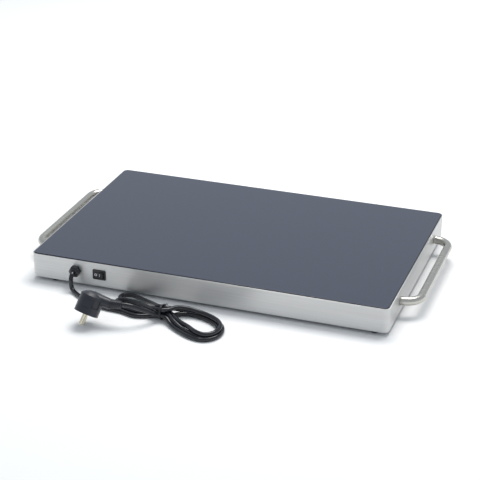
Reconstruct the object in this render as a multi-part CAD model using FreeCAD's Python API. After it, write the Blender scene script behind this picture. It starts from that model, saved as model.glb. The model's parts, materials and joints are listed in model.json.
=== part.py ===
import FreeCAD, Part
import math
import os

# Glass-topped electric warming plate with two bar handles, millimetres.
# +X is to the right along the front, +Y to the back, +Z up.
# The origin is on the surface the plate stands on, below the middle of the shell.

# Overall sizes
body_width = 604.0
body_depth = 384.0
shell_height = 42.5
base_thickness = 1.0
foot_height = 5.0

# Shell of folded and corner-drawn stainless sheet
sheet = 1.2
corner_radius = 10.0
fold_radius = 1.6
flange_width = 15.0
rim_drop = 1.2

# Glass and the silicone joint it is bedded in
glass_thickness = 4.0
glass_edge_radius = 0.8
joint_width = 0.8
joint_drop = 1.6
bed_thickness = 0.8
bed_width = 10.0

# Ledge welded inside the walls to carry the glass
ledge_sheet = 1.2
ledge_width = 14.0
ledge_leg = 9.0

# Heater below the glass, its insulation and the tray that holds both up
mat_thickness = 1.6
mat_margin = 30.0
mat_corner = 12.0
board_thickness = 12.0
board_inset = 2.0
tray_sheet = 0.8
tray_gap = 0.5
tray_lap = 5.0
core_hole_radius = 4.0

# Base plate with its vents
base_margin = 2.5
vent_length = 60.0
vent_width = 4.0
vent_pitch = 12.0
vent_rows = 5
vent_offset = 150.0

# Feet
foot_radius = 7.5
foot_toe_radius = 6.6
foot_toe_round = 1.2
foot_inset_left = 37.0
foot_inset_right = 24.0
foot_inset_y = 13.0
foot_recess_radius = 4.2
foot_recess_depth = 3.2

# Fasteners: thread radius, head radius and head height
base_screw = (1.75, 3.4, 2.0)
tray_screw = (1.5, 2.8, 1.8)
foot_screw = (2.0, 3.6, 2.2)
handle_screw = (2.5, 4.4, 3.2)
fixing_screw = (1.25, 2.3, 1.5)
thread_clearance = 0.05
hole_clearance = 0.25
base_screw_inset = 8.0
base_screw_columns = 4
base_screw_span = 450.0
base_screw_length = 6.0
tray_screw_span = 400.0
foot_nut_flats = 7.0
foot_nut_height = 3.0
washer_radius = 7.0
washer_thickness = 1.2

# Bar handles
handle_spacing = 240.0
handle_reach = 28.5
handle_radius = 7.0
handle_bend = 26.0
handle_shift = 3.4
handle_end_chamfer = 0.5
handle_tap_depth = 16.0

# Cable gland
gland_x = -222.4
gland_rise = 1.5
gland_flats = 17.0
gland_thread_radius = 6.4
gland_flange = 3.2
gland_neck_radius = 5.6
gland_neck_length = 3.8
gland_bore_radius = 4.6
gland_nut_gap = 0.4
gland_nut_length = 4.2
gland_dome_length = 2.7
gland_nose_radius = 4.6
gland_tail = 10.0
locknut_thickness = 4.0

# Rocker switch
switch_x = -180.6
switch_rise = 0.4
bezel_width = 22.5
bezel_height = 17.2
bezel_thickness = 2.0
bezel_corner = 1.6
switch_body_width = 19.0
switch_body_height = 13.0
switch_depth = 16.0
switch_clip = 0.8
pocket_half_width = 9.4
pocket_clearance = 0.3
rocker_radius = 9.1
rocker_half_height = 5.1
rocker_pivot_depth = 2.2
rocker_crest = 2.4
rocker_face_angle = 10.0
rocker_back = 3.0
rocker_throw = 20.0
trunnion_radius = 1.2
trunnion_length = 0.8
trunnion_clearance = 0.08
blade_width = 6.3
blade_thickness = 0.8
blade_length = 8.0
blade_pitch = 9.0

# Wiring inside
block_x = -140.0
block_setback = 42.0
block_width = 34.0
block_depth = 20.0
block_height = 16.0
block_well_radius = 2.0
block_grip = 6.0
block_pitch = 10.0
limiter_x = -180.0
limiter_y = -60.0
limiter_radius = 8.0
limiter_height = 7.0
limiter_flange = 1.0
limiter_ear = 13.0
limiter_blade = 6.0
limiter_blade_pitch = 5.0
earth_x = -250.0
earth_setback = 42.0
earth_radius = 2.0
earth_height = 12.0
earth_nut_flats = 7.0
earth_nut_height = 3.2
tag_sheet = 0.8
tag_length = 14.0
tag_barrel = 2.0
tag_radius = 4.0
core_radius = 1.2
core_entry_left = -215.0
core_entry_right = -140.0
core_entry_y = -60.0

# Mains cord
cord_diameter = 7.2
cord_inlet_length = 31.0
tie_wire = 1.2
tie_width = 3.0
tie_tail = 10.0
waist_radius = 11.0

# Angled plug
pin_radius = 2.4
pin_length = 19.0
pin_spacing = 19.0
pin_seat = 6.0
plug_radius = 19.5
plug_depth = 36.2
plug_side = 29.3
plug_crown = (13.5, 33.7)
plug_flat = 6.8
plug_edge = 1.2
neck_half_width = 13.5
neck_low = 17.3
neck_crown = 1.2
neck_end = 29.6
neck_rise = 28.5
neck_angle = 19.0
relief_length = 18.0
relief_radius = 8.4
relief_tip_radius = 6.2
relief_ribs = 5
rib_depth = 1.3
pad_left = -8.5
pad_right = 8.8
pad_low = 9.4
pad_high = 25.0
pad_proud = 1.2
grip_right = 17.0
grip_low = 12.0
grip_high = 26.0
grip_near = 14.8
grip_far = 8.0
clip_width = 5.0
clip_length = 9.0
clip_thickness = 0.8

# Levels and places that follow from the sizes above
shell_bottom = foot_height + base_thickness
glass_top = shell_bottom + shell_height
glass_bottom = glass_top - glass_thickness
bed_bottom = glass_bottom - bed_thickness
side_middle = shell_bottom + shell_height / 2
front = -body_depth / 2
inside_front = front + sheet
mat_bottom = glass_bottom - mat_thickness
board_bottom = mat_bottom - board_thickness
tray_bottom = board_bottom - tray_sheet
tray_top = bed_bottom - ledge_sheet
switch_z = side_middle + switch_rise
gland_z = side_middle + gland_rise
cord_radius = cord_diameter / 2
gland_nose = front - gland_flange - gland_nut_gap - gland_nut_length - gland_dome_length
cord_inlet_end = gland_nose + cord_inlet_length
block_y = front + block_setback
earth_y = front + earth_setback
handle_ys = (handle_shift - handle_spacing / 2, handle_shift + handle_spacing / 2)
foot_places = {
    "front_left": (-body_width / 2 + foot_inset_left, front + foot_inset_y),
    "front_right": (body_width / 2 - foot_inset_right, front + foot_inset_y),
    "rear_left": (-body_width / 2 + foot_inset_left, -front - foot_inset_y),
    "rear_right": (body_width / 2 - foot_inset_right, -front - foot_inset_y),
}

# Place of the plug's face, and the tilt, heading and roll of its back as it lies on its pins
plug_x = -150.4
plug_y = -309.5
plug_tilt = 57.0
plug_heading = 64.3
plug_roll = 57.5

# Cord route from the gland's nose to the hank, chosen by hand
lead_route = [
    (gland_x, gland_nose, gland_z),
    (gland_x, gland_nose - 4.2, gland_z),
    (-222.2, -210.8, 25.7),
    (-221.9, -213.0, 20.4),
    (-221.6, -213.4, 13.0),
    (-220.2, -214.5, 7.2),
    (-216.2, -217.2, 4.3),
    (-209.4, -222.4, 3.7),
    (-198.0, -230.4, 3.7),
    (-180.5, -241.0, 3.7),
    (-160.0, -249.6, 3.7),
    (-138.5, -253.9, 3.7),
    (-117.0, -253.9, 3.7),
]

# Cord route from the hank's waist up to the plug's strain relief, whose end it runs on to
tail_route = [
    (-57.5, -268.0, 17.6),
    (-64.5, -275.0, 23.0),
    (-75.5, -282.5, 29.8),
]
tail_root = 10.5
relief_run = 12.0

# Hank: middle lines of its bundles, chosen by hand, each with the bundle's radius
bundle_radius = 7.5
waist_centre = (-46.0, -252.0)
waist_length = 24.0
ring_route = [
    (-39.0, -240.5),
    (-27.0, -232.5),
    (-10.0, -229.5),
    (10.0, -233.0),
    (30.0, -240.0),
    (47.0, -250.5),
    (56.0, -267.0),
    (53.0, -285.0),
    (40.0, -296.0),
    (22.0, -293.5),
    (2.0, -282.5),
    (-20.0, -268.0),
    (-38.0, -257.5),
]
left_bundles = [
    [(-53.0, -248.0), (-76.0, -230.0), (-99.0, -214.5), (-121.0, -207.5), (-134.0, -206.0)],
    [(-53.0, -250.0), (-74.0, -244.5), (-96.0, -236.0), (-117.0, -229.0), (-132.0, -226.0)],
    [(-53.0, -253.0), (-67.0, -257.0), (-83.0, -257.4), (-100.0, -253.9), (-117.0, -253.9)],
]


def vec(x, y, z):
    return FreeCAD.Vector(x, y, z)


def box(x0, x1, y0, y1, z0, z1):
    return Part.makeBox(x1 - x0, y1 - y0, z1 - z0, vec(x0, y0, z0))


def rod(radius, start, direction, length):
    """Cylinder from a start point along a direction."""
    return Part.makeCylinder(radius, length, start, direction)


def prism(points, height):
    """Flat outline pushed out by a vector."""
    return Part.Face(Part.makePolygon(points + [points[0]])).extrude(height)


def rounded_slab(width, depth, radius, z0, z1, x=0.0, y=0.0):
    """Flat slab with rounded upright corners, centred on x and y."""
    w = width / 2
    d = depth / 2
    slab = box(x - w, x + w, y - d, y + d, z0, z1)
    upright = [e for e in slab.Edges if abs(e.Vertexes[0].Z - e.Vertexes[-1].Z) > 1e-6]
    return slab.makeFillet(radius, upright)


def revolved(profile, base, axis):
    """Solid of revolution from an outline given in space."""
    outline = Part.Face(Part.makePolygon(profile + [profile[0]]))
    return outline.revolve(base, axis, 360)


def hexagon(flats, start, direction, length, side):
    """Hexagonal bar; side is a direction that points at one of its flats."""
    across = flats / math.sqrt(3)
    other = direction.cross(side)
    points = []
    for i in range(6):
        turn = math.radians(30 + 60 * i)
        points.append(start + side * (across * math.cos(turn)) + other * (across * math.sin(turn)))
    return prism(points, direction * length)


def level_edges(shape, z, tolerance=1e-4):
    """Edges that lie flat at one height."""
    return [e for e in shape.Edges
            if abs(e.BoundBox.ZMin - z) < tolerance and abs(e.BoundBox.ZMax - z) < tolerance]


def screw(kind, seat, direction, length):
    """Screw: its head stands on the seat, against the direction of its thread."""
    thread, head, height = kind
    crown = rod(head, seat - direction * height, direction, height)
    return crown.fuse(rod(thread - thread_clearance, seat, direction, length))


def group(solids):
    return Part.makeCompound(solids)


def route_edges(points, report=None):
    """Straight runs joined by tangent arcs as large as the two runs allow."""
    pts = [vec(*p) for p in points]
    edges = []
    start = pts[0]
    for i in range(1, len(pts) - 1):
        back = pts[i - 1] - pts[i]
        ahead = pts[i + 1] - pts[i]
        reach = 0.45 * min(back.Length, ahead.Length)
        back.normalize()
        ahead.normalize()
        half_turn = (math.pi - back.getAngle(ahead)) / 2
        radius = reach / math.tan(half_turn)
        into = pts[i] + back * reach
        out = pts[i] + ahead * reach
        inward = back + ahead
        inward.normalize()
        middle = pts[i] + inward * (radius / math.cos(half_turn) - radius)
        edges.append(Part.LineSegment(start, into).toShape())
        edges.append(Part.Arc(into, middle, out).toShape())
        start = out
        if report is not None:
            report.append(radius)
    edges.append(Part.LineSegment(start, pts[-1]).toShape())
    return edges


def tube(points, radius, name=None):
    """Round tube along a route; a named tube prints its bend radii and its volume check."""
    radii = []
    path = Part.Wire(route_edges(points, radii))
    first = path.Edges[0]
    begin = first.valueAt(first.FirstParameter)
    heading = first.tangentAt(first.FirstParameter)
    section = Part.Face(Part.Wire(Part.Circle(begin, heading, radius).toShape()))
    solid = path.makePipe(section)
    if name:
        ideal = math.pi * radius ** 2 * path.Length
        print(name, "length", round(path.Length, 1), "radii", [round(r, 1) for r in radii],
              "volume share", round(solid.Volume / ideal, 4))
    return solid


def housing():
    """Four walls with drawn corners, a bottom flange and the wall cut-outs."""
    top = glass_top - rim_drop
    outer = rounded_slab(body_width, body_depth, corner_radius, shell_bottom, top)
    outer = outer.makeFillet(fold_radius, level_edges(outer, shell_bottom))
    inner = rounded_slab(body_width - 2 * sheet, body_depth - 2 * sheet, corner_radius - sheet,
                         shell_bottom + sheet, glass_top)
    mouth = rounded_slab(body_width - 2 * flange_width, body_depth - 2 * flange_width, sheet,
                         shell_bottom - sheet, glass_top)
    return outer.cut([inner, mouth] + wall_holes() + flange_holes())


def wall_holes():
    """Holes for the gland, the switch and the handles' screws."""
    holes = [rod(gland_thread_radius + hole_clearance, vec(gland_x, front - sheet, gland_z),
                 vec(0, 1, 0), 3 * sheet)]
    half_w = switch_body_width / 2 + hole_clearance
    half_h = switch_body_height / 2 + hole_clearance
    holes.append(box(switch_x - half_w, switch_x + half_w, front - sheet, front + 2 * sheet,
                     switch_z - half_h, switch_z + half_h))
    for side in (-1, 1):
        for y in handle_ys:
            start = vec(side * (body_width / 2 - 2 * sheet), y, side_middle)
            holes.append(rod(handle_screw[0] + hole_clearance, start, vec(side, 0, 0), 3 * sheet))
    return holes


def base_screw_places():
    """Along the two long sides and at the middle of each short side."""
    pitch = base_screw_span / (base_screw_columns - 1)
    xs = [-base_screw_span / 2 + pitch * i for i in range(base_screw_columns)]
    y = body_depth / 2 - base_screw_inset
    x = body_width / 2 - base_screw_inset
    return [(px, s * y) for s in (-1, 1) for px in xs] + [(-x, 0.0), (x, 0.0)]


def flange_holes():
    """Holes in the bottom flange for the base plate's screws and the feet's screws."""
    holes = []
    for x, y in base_screw_places():
        holes.append(rod(base_screw[0], vec(x, y, shell_bottom - sheet), vec(0, 0, 1), 3 * sheet))
    for x, y in foot_places.values():
        holes.append(rod(foot_screw[0] + hole_clearance, vec(x, y, shell_bottom - sheet),
                         vec(0, 0, 1), 3 * sheet))
    return holes


def glass():
    """Toughened glass with a ground edge that stands a little proud of the shell's rim."""
    lost = 2 * (sheet + joint_width)
    pane = rounded_slab(body_width - lost, body_depth - lost, corner_radius - lost / 2,
                        glass_bottom, glass_top)
    return pane.makeFillet(glass_edge_radius, level_edges(pane, glass_top))


def glass_seal():
    """Silicone bed under the glass edge with the upstand that fills the joint."""
    width = body_width - 2 * sheet
    depth = body_depth - 2 * sheet
    radius = corner_radius - sheet
    whole = rounded_slab(width, depth, radius, bed_bottom, glass_top - joint_drop)
    pane = rounded_slab(width - 2 * joint_width, depth - 2 * joint_width, radius - joint_width,
                        glass_bottom, glass_top)
    opening = rounded_slab(width - 2 * bed_width, depth - 2 * bed_width, sheet,
                           bed_bottom - sheet, glass_top)
    return whole.cut([pane, opening])


def glass_ledge():
    """Angle-section frame that carries the glass, notched where the gland's nut turns."""
    width = body_width - 2 * sheet
    depth = body_depth - 2 * sheet
    radius = corner_radius - sheet
    whole = rounded_slab(width, depth, radius, bed_bottom - ledge_leg, bed_bottom)
    hollow = rounded_slab(width - 2 * ledge_sheet, depth - 2 * ledge_sheet, radius - ledge_sheet,
                          bed_bottom - ledge_leg - sheet, tray_top)
    opening = rounded_slab(width - 2 * ledge_width, depth - 2 * ledge_width, ledge_sheet,
                           tray_top - sheet, bed_bottom + sheet)
    notch = gland_flats / math.sqrt(3) + 2.0
    gap = box(gland_x - notch, gland_x + notch, inside_front - sheet, inside_front + 2 * sheet,
              bed_bottom - ledge_leg - sheet, gland_z + notch)
    holes = [rod(tray_screw[0], vec(x, y, tray_top - sheet), vec(0, 0, 1), 3 * sheet)
             for x, y in tray_screw_places()]
    return whole.cut([hollow, opening, gap] + holes)


def tray_screw_places():
    """Screws stand halfway between the ledge's opening and the tray's edge."""
    lap = sheet + ledge_width - tray_lap
    y = body_depth / 2 - lap
    x = body_width / 2 - lap
    xs = (-tray_screw_span / 2, 0.0, tray_screw_span / 2)
    return [(px, s * y) for s in (-1, 1) for px in xs] + [(-x, 0.0), (x, 0.0)]


def core_holes(z0, z1):
    """Two passages for the heater's supply cores."""
    return [rod(core_hole_radius, vec(x, core_entry_y, z0), vec(0, 0, 1), z1 - z0)
            for x in (core_entry_left, core_entry_right)]


def heating_mat():
    return rounded_slab(body_width - 2 * mat_margin, body_depth - 2 * mat_margin, mat_corner,
                        mat_bottom, glass_bottom)


def insulation_board():
    margin = mat_margin + board_inset
    board = rounded_slab(body_width - 2 * margin, body_depth - 2 * margin, mat_corner - board_inset,
                         board_bottom, mat_bottom)
    return board.cut(core_holes(board_bottom - 1, mat_bottom + 1))


def heater_tray():
    """Shallow pan whose flange is screwed up under the ledge."""
    margin = mat_margin + board_inset - tray_gap
    radius = mat_corner - board_inset + tray_gap
    width = body_width - 2 * margin
    depth = body_depth - 2 * margin
    rim = 2 * (sheet + ledge_sheet + hole_clearance + 1.0)
    flange = rounded_slab(body_width - rim, body_depth - rim, corner_radius - rim / 2,
                          tray_top - tray_sheet, tray_top)
    pan = rounded_slab(width + 2 * tray_sheet, depth + 2 * tray_sheet, radius + tray_sheet,
                       tray_bottom, tray_top - tray_sheet)
    room = rounded_slab(width, depth, radius, board_bottom, tray_top + 1)
    holes = [rod(tray_screw[0] + hole_clearance, vec(x, y, tray_bottom), vec(0, 0, 1), board_thickness * 2)
             for x, y in tray_screw_places()]
    holes += core_holes(tray_bottom - 1, board_bottom + 1)
    holes += [rod(fixing_screw[0], vec(x, limiter_y, tray_bottom - 1), vec(0, 0, 1), tray_sheet + 2)
              for x in limiter_ears()]
    return flange.fuse(pan).cut([room] + holes)


def tray_screws():
    seat = tray_top - tray_sheet
    return group([screw(tray_screw, vec(x, y, seat), vec(0, 0, 1), tray_sheet + ledge_sheet)
                  for x, y in tray_screw_places()])


def base_plate():
    """Flat sheet with two fields of vent slots and its screw holes."""
    bottom = foot_height
    plate = rounded_slab(body_width - 2 * base_margin, body_depth - 2 * base_margin,
                         corner_radius - base_margin, bottom, shell_bottom)
    holes = []
    for x, y in base_screw_places():
        holes.append(rod(base_screw[0] + hole_clearance, vec(x, y, bottom - 1), vec(0, 0, 1), 3))
    for x, y in foot_places.values():
        holes.append(rod(foot_screw[0] + hole_clearance, vec(x, y, bottom - 1), vec(0, 0, 1), 3))
    holes.append(rod(earth_radius, vec(earth_x, earth_y, bottom - 1), vec(0, 0, 1), 3))
    for x in block_fixings():
        holes.append(rod(fixing_screw[0], vec(x, block_y, bottom - 1), vec(0, 0, 1), 3))
    for side in (-1, 1):
        for i in range(vent_rows):
            y = (i - (vent_rows - 1) / 2) * vent_pitch
            holes.append(rounded_slab(vent_length, vent_width, vent_width / 2 - 0.01, bottom - 1,
                                      shell_bottom + 1, side * vent_offset, y))
    return plate.cut(holes)


def base_screws():
    return group([screw(base_screw, vec(x, y, foot_height), vec(0, 0, 1), base_screw_length)
                  for x, y in base_screw_places()])


def foot(x, y):
    """Moulded rubber foot with a recess for its screw's head."""
    toe = foot_toe_radius - foot_toe_round
    bore = foot_screw[0] + hole_clearance
    profile = [
        vec(x + foot_recess_radius, y, 0),
        vec(x + toe, y, 0),
        vec(x + foot_toe_radius - foot_toe_round * 0.3, y, foot_toe_round * 0.3),
        vec(x + foot_toe_radius, y, foot_toe_round),
        vec(x + foot_radius, y, foot_height),
        vec(x + bore, y, foot_height),
        vec(x + bore, y, foot_recess_depth),
        vec(x + foot_recess_radius, y, foot_recess_depth),
    ]
    return revolved(profile, vec(x, y, 0), vec(0, 0, 1))


def foot_screws():
    length = shell_bottom + sheet + foot_nut_height + 1.0 - foot_recess_depth
    return group([screw(foot_screw, vec(x, y, foot_recess_depth), vec(0, 0, 1), length)
                  for x, y in foot_places.values()])


def foot_nuts():
    seat = shell_bottom + sheet
    nuts = []
    for x, y in foot_places.values():
        nut = hexagon(foot_nut_flats, vec(x, y, seat), vec(0, 0, 1), foot_nut_height, vec(1, 0, 0))
        nuts.append(nut.cut(rod(foot_screw[0], vec(x, y, seat - 1), vec(0, 0, 1), foot_nut_height + 2)))
    return group(nuts)


def handle(side):
    """Bent round bar that stands off the end wall, tapped at both ends."""
    wall = side * body_width / 2
    far = wall + side * handle_reach
    y0, y1 = handle_ys
    z = side_middle
    knee = far - side * handle_bend
    slant = handle_bend * (1 - math.sqrt(0.5))
    edges = [
        Part.LineSegment(vec(wall, y0, z), vec(knee, y0, z)).toShape(),
        Part.Arc(vec(knee, y0, z), vec(far - side * slant, y0 + slant, z),
                 vec(far, y0 + handle_bend, z)).toShape(),
        Part.LineSegment(vec(far, y0 + handle_bend, z), vec(far, y1 - handle_bend, z)).toShape(),
        Part.Arc(vec(far, y1 - handle_bend, z), vec(far - side * slant, y1 - slant, z),
                 vec(knee, y1, z)).toShape(),
        Part.LineSegment(vec(knee, y1, z), vec(wall, y1, z)).toShape(),
    ]
    section = Part.Wire(Part.Circle(vec(wall, y0, z), vec(side, 0, 0), handle_radius).toShape())
    bar = Part.Wire(edges).makePipe(Part.Face(section))
    ends = [e for e in bar.Edges if max(abs(e.BoundBox.XMin - wall), abs(e.BoundBox.XMax - wall)) < 1e-4]
    bar = bar.makeChamfer(handle_end_chamfer, ends)
    taps = [rod(handle_screw[0], vec(wall - side, y, z), vec(side, 0, 0), handle_tap_depth + 1)
            for y in handle_ys]
    return bar.cut(taps)


def handle_fixings():
    """Screws and washers inside the end walls."""
    screws = []
    washers = []
    inner = body_width / 2 - sheet
    for side in (-1, 1):
        out = vec(side, 0, 0)
        for y in handle_ys:
            seat = vec(side * (inner - washer_thickness), y, side_middle)
            screws.append(screw(handle_screw, seat, out, washer_thickness + sheet + handle_tap_depth - 3))
            ring = rod(washer_radius, seat, out, washer_thickness)
            hole = rod(handle_screw[0] + hole_clearance, seat - out, out, washer_thickness + 2)
            washers.append(ring.cut(hole))
    return group(screws), group(washers)


def gland_body():
    """Hexagon flange and neck outside the wall, threaded tail inside."""
    out = vec(0, -1, 0)
    hexa = hexagon(gland_flats, vec(gland_x, front, gland_z), out, gland_flange, vec(0, 0, 1))
    neck = rod(gland_neck_radius, vec(gland_x, front - gland_flange, gland_z), out, gland_neck_length)
    tail = rod(gland_thread_radius, vec(gland_x, front + gland_tail, gland_z), out, gland_tail)
    bore = rod(gland_bore_radius, vec(gland_x, front + gland_tail + 1, gland_z), out, gland_tail + 30)
    return hexa.fuse([neck, tail]).removeSplitter().cut(bore)


def gland_nut():
    """Hexagon nut that domes in to the cord."""
    start = front - gland_flange - gland_nut_gap
    out = vec(0, -1, 0)
    shoulder = start - gland_nut_length
    corner = gland_flats / math.sqrt(3)
    hexa = hexagon(gland_flats, vec(gland_x, start, gland_z), out,
                   gland_nut_length + gland_dome_length, vec(0, 0, 1))
    dome = [
        vec(gland_x, start, gland_z),
        vec(gland_x + corner + 1, start, gland_z),
        vec(gland_x + corner + 0.2, shoulder + 1.2, gland_z),
        vec(gland_x + corner - 1.6, shoulder - 0.3, gland_z),
        vec(gland_x + gland_nose_radius + 2.0, gland_nose + 1.0, gland_z),
        vec(gland_x + gland_nose_radius, gland_nose, gland_z),
        vec(gland_x, gland_nose, gland_z),
    ]
    form = hexa.common(revolved(dome, vec(gland_x, 0, gland_z), vec(0, 1, 0)))
    thread = rod(gland_neck_radius + hole_clearance, vec(gland_x, start + 1, gland_z), out,
                 gland_neck_length - gland_nut_gap + 1.2)
    mouth = rod(cord_radius + 0.3, vec(gland_x, start + 1, gland_z), out, 30)
    return form.cut([thread, mouth])


def gland_seal():
    """Rubber sleeve squeezed on the cord inside the gland's body."""
    start = vec(gland_x, front + gland_tail / 2, gland_z)
    length = gland_tail / 2 + gland_flange + gland_neck_length
    out = vec(0, -1, 0)
    sleeve = rod(gland_bore_radius - thread_clearance, start, out, length)
    return sleeve.cut(rod(cord_radius + thread_clearance, start - out, out, length + 2))


def gland_locknut():
    start = vec(gland_x, inside_front, gland_z)
    nut = hexagon(gland_flats, start, vec(0, 1, 0), locknut_thickness, vec(0, 0, 1))
    return nut.cut(rod(gland_thread_radius + thread_clearance, start - vec(0, 1, 0), vec(0, 1, 0),
                       locknut_thickness + 2))


def rocker_pivot():
    return vec(switch_x, front - bezel_thickness + rocker_pivot_depth, switch_z)


def switch_body():
    """Moulded body with its bezel, snap-in clips and the pocket the rocker swings in."""
    face = front - bezel_thickness
    bezel = Part.makeBox(bezel_width, bezel_thickness, bezel_height,
                         vec(switch_x - bezel_width / 2, face, switch_z - bezel_height / 2))
    ends = [e for e in bezel.Edges if e.BoundBox.YLength > bezel_thickness / 2]
    bezel = bezel.makeFillet(bezel_corner, ends)
    rim = [e for e in bezel.Edges if e.BoundBox.YMax < face + 1e-4]
    bezel = bezel.makeChamfer(0.5, rim)
    half_w = switch_body_width / 2
    half_h = switch_body_height / 2
    case = box(switch_x - half_w, switch_x + half_w, front, front + switch_depth,
               switch_z - half_h, switch_z + half_h)
    clips = []
    for side in (-1, 1):
        x = switch_x + side * half_w
        near = inside_front + 0.1
        points = [vec(x, near, switch_z - 3), vec(x + side * switch_clip, near, switch_z - 3),
                  vec(x, near + 5, switch_z - 3)]
        clips.append(prism(points, vec(0, 0, 6)))
    pivot = rocker_pivot()
    swing = math.radians(rocker_throw / 2)
    low = rocker_back * math.cos(swing) + rocker_radius * math.sin(swing) + pocket_clearance
    half_pocket = rocker_half_height + pocket_clearance
    pocket = box(switch_x - pocket_half_width, switch_x + pocket_half_width, face - 1, pivot.y + low,
                 switch_z - half_pocket, switch_z + half_pocket)
    reach = rocker_half_height + trunnion_length + trunnion_clearance
    socket = rod(trunnion_radius + trunnion_clearance, pivot - vec(0, 0, reach), vec(0, 0, 1), 2 * reach)
    return bezel.fuse([case] + clips).cut([pocket, socket])


def switch_rocker():
    """Rocker with two shallow faces that meet in a crease, at rest with its left side down."""
    pivot = rocker_pivot()
    drum = rod(rocker_radius, pivot - vec(0, 0, rocker_half_height), vec(0, 0, 1), 2 * rocker_half_height)
    slope = math.tan(math.radians(rocker_face_angle))
    wide = rocker_radius + 1
    low = pivot.z - rocker_half_height - 1
    crest = pivot.y - rocker_crest
    ends = crest - wide * slope
    points = [vec(pivot.x, crest, low), vec(pivot.x + wide, ends, low),
              vec(pivot.x + wide, pivot.y + rocker_back, low),
              vec(pivot.x - wide, pivot.y + rocker_back, low), vec(pivot.x - wide, ends, low)]
    form = drum.common(prism(points, vec(0, 0, 2 * rocker_half_height + 2)))
    reach = rocker_half_height + trunnion_length
    pin = rod(trunnion_radius, pivot - vec(0, 0, reach), vec(0, 0, 1), 2 * reach)
    form = form.fuse(pin)
    form.rotate(pivot, vec(0, 0, 1), -rocker_throw / 2)
    return form


def switch_terminals():
    """Two push-on blades behind the switch."""
    blades = []
    for side in (-1, 1):
        x = switch_x + side * blade_pitch / 2
        blades.append(box(x - blade_thickness / 2, x + blade_thickness / 2,
                          front + switch_depth, front + switch_depth + blade_length,
                          switch_z - blade_width / 2, switch_z + blade_width / 2))
    return group(blades)


def block_fixings():
    return (block_x - block_pitch / 2, block_x + block_pitch / 2)


def terminal_block():
    """Three-way block with a wire bore through each way, a screw well over it and barriers."""
    half = block_width / 2
    floor_z = shell_bottom
    body = box(block_x - half, block_x + half, block_y - block_depth / 2, block_y + block_depth / 2,
               floor_z, floor_z + block_height)
    cuts = []
    for way in (-1, 0, 1):
        x = block_x + way * block_pitch
        cuts.append(rod(core_radius + thread_clearance,
                        vec(x, block_y - block_depth, floor_z + block_height / 2),
                        vec(0, 1, 0), 2 * block_depth))
        for y in (block_y - block_depth / 4, block_y + block_depth / 4):
            cuts.append(rod(block_well_radius, vec(x, y, floor_z + block_height / 2), vec(0, 0, 1),
                            block_height))
    for x in block_fixings():
        cuts.append(rod(fixing_screw[0] + hole_clearance, vec(x, block_y, floor_z - 1), vec(0, 0, 1),
                        block_height + 2))
        cuts.append(box(x - fixing_screw[1], x + fixing_screw[1], block_y - fixing_screw[1],
                        block_y + fixing_screw[1], floor_z + block_height - 3, floor_z + block_height + 1))
    return body.cut(cuts)


def block_screws():
    seat = shell_bottom + block_height - 3
    return group([screw(fixing_screw, vec(x, block_y, seat), vec(0, 0, -1), block_height - 3 + 1.5)
                  for x in block_fixings()])


def limiter_ears():
    return (limiter_x - limiter_ear, limiter_x + limiter_ear)


def thermal_limiter():
    """Disc thermostat with a fixing ear each side, held up against the tray."""
    top = vec(limiter_x, limiter_y, tray_bottom)
    down = vec(0, 0, -1)
    can = rod(limiter_radius, top, down, limiter_height)
    ear = box(limiter_x - limiter_ear - 4, limiter_x + limiter_ear + 4, limiter_y - 4, limiter_y + 4,
              tray_bottom - limiter_flange, tray_bottom)
    blades = [box(limiter_x + s * limiter_blade_pitch - 0.4, limiter_x + s * limiter_blade_pitch + 0.4,
                  limiter_y - 3, limiter_y + 3,
                  tray_bottom - limiter_height - limiter_blade, tray_bottom - limiter_height)
              for s in (-1, 1)]
    holes = [rod(fixing_screw[0] + hole_clearance, vec(x, limiter_y, tray_bottom + 1), down, 4)
             for x in limiter_ears()]
    return can.fuse([ear] + blades).cut(holes)


def limiter_screws():
    seat = tray_bottom - limiter_flange
    return group([screw(fixing_screw, vec(x, limiter_y, seat), vec(0, 0, 1), limiter_flange + tray_sheet)
                  for x in limiter_ears()])


def earth_stud():
    """Threaded stud pressed into the base plate, with its nut and ring tag."""
    foot_z = foot_height
    return rod(earth_radius - thread_clearance, vec(earth_x, earth_y, foot_z), vec(0, 0, 1),
               base_thickness + earth_height)


def earth_nut():
    seat = vec(earth_x, earth_y, shell_bottom + tag_sheet)
    nut = hexagon(earth_nut_flats, seat, vec(0, 0, 1), earth_nut_height, vec(1, 0, 0))
    return nut.cut(rod(earth_radius, seat - vec(0, 0, 1), vec(0, 0, 1), earth_nut_height + 2))


def earth_tag():
    """Ring tag clamped under the nut, with its crimp barrel."""
    flat = rod(tag_radius, vec(earth_x, earth_y, shell_bottom), vec(0, 0, 1), tag_sheet)
    arm = box(earth_x, earth_x + tag_length, earth_y - tag_barrel, earth_y + tag_barrel,
              shell_bottom, shell_bottom + tag_sheet)
    barrel = rod(tag_barrel, vec(earth_x + tag_length / 2, earth_y, shell_bottom + tag_barrel),
                 vec(1, 0, 0), tag_length / 2)
    stud = rod(earth_radius, vec(earth_x, earth_y, shell_bottom - 1), vec(0, 0, 1), 4)
    return flat.fuse([arm, barrel]).cut(stud)


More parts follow.
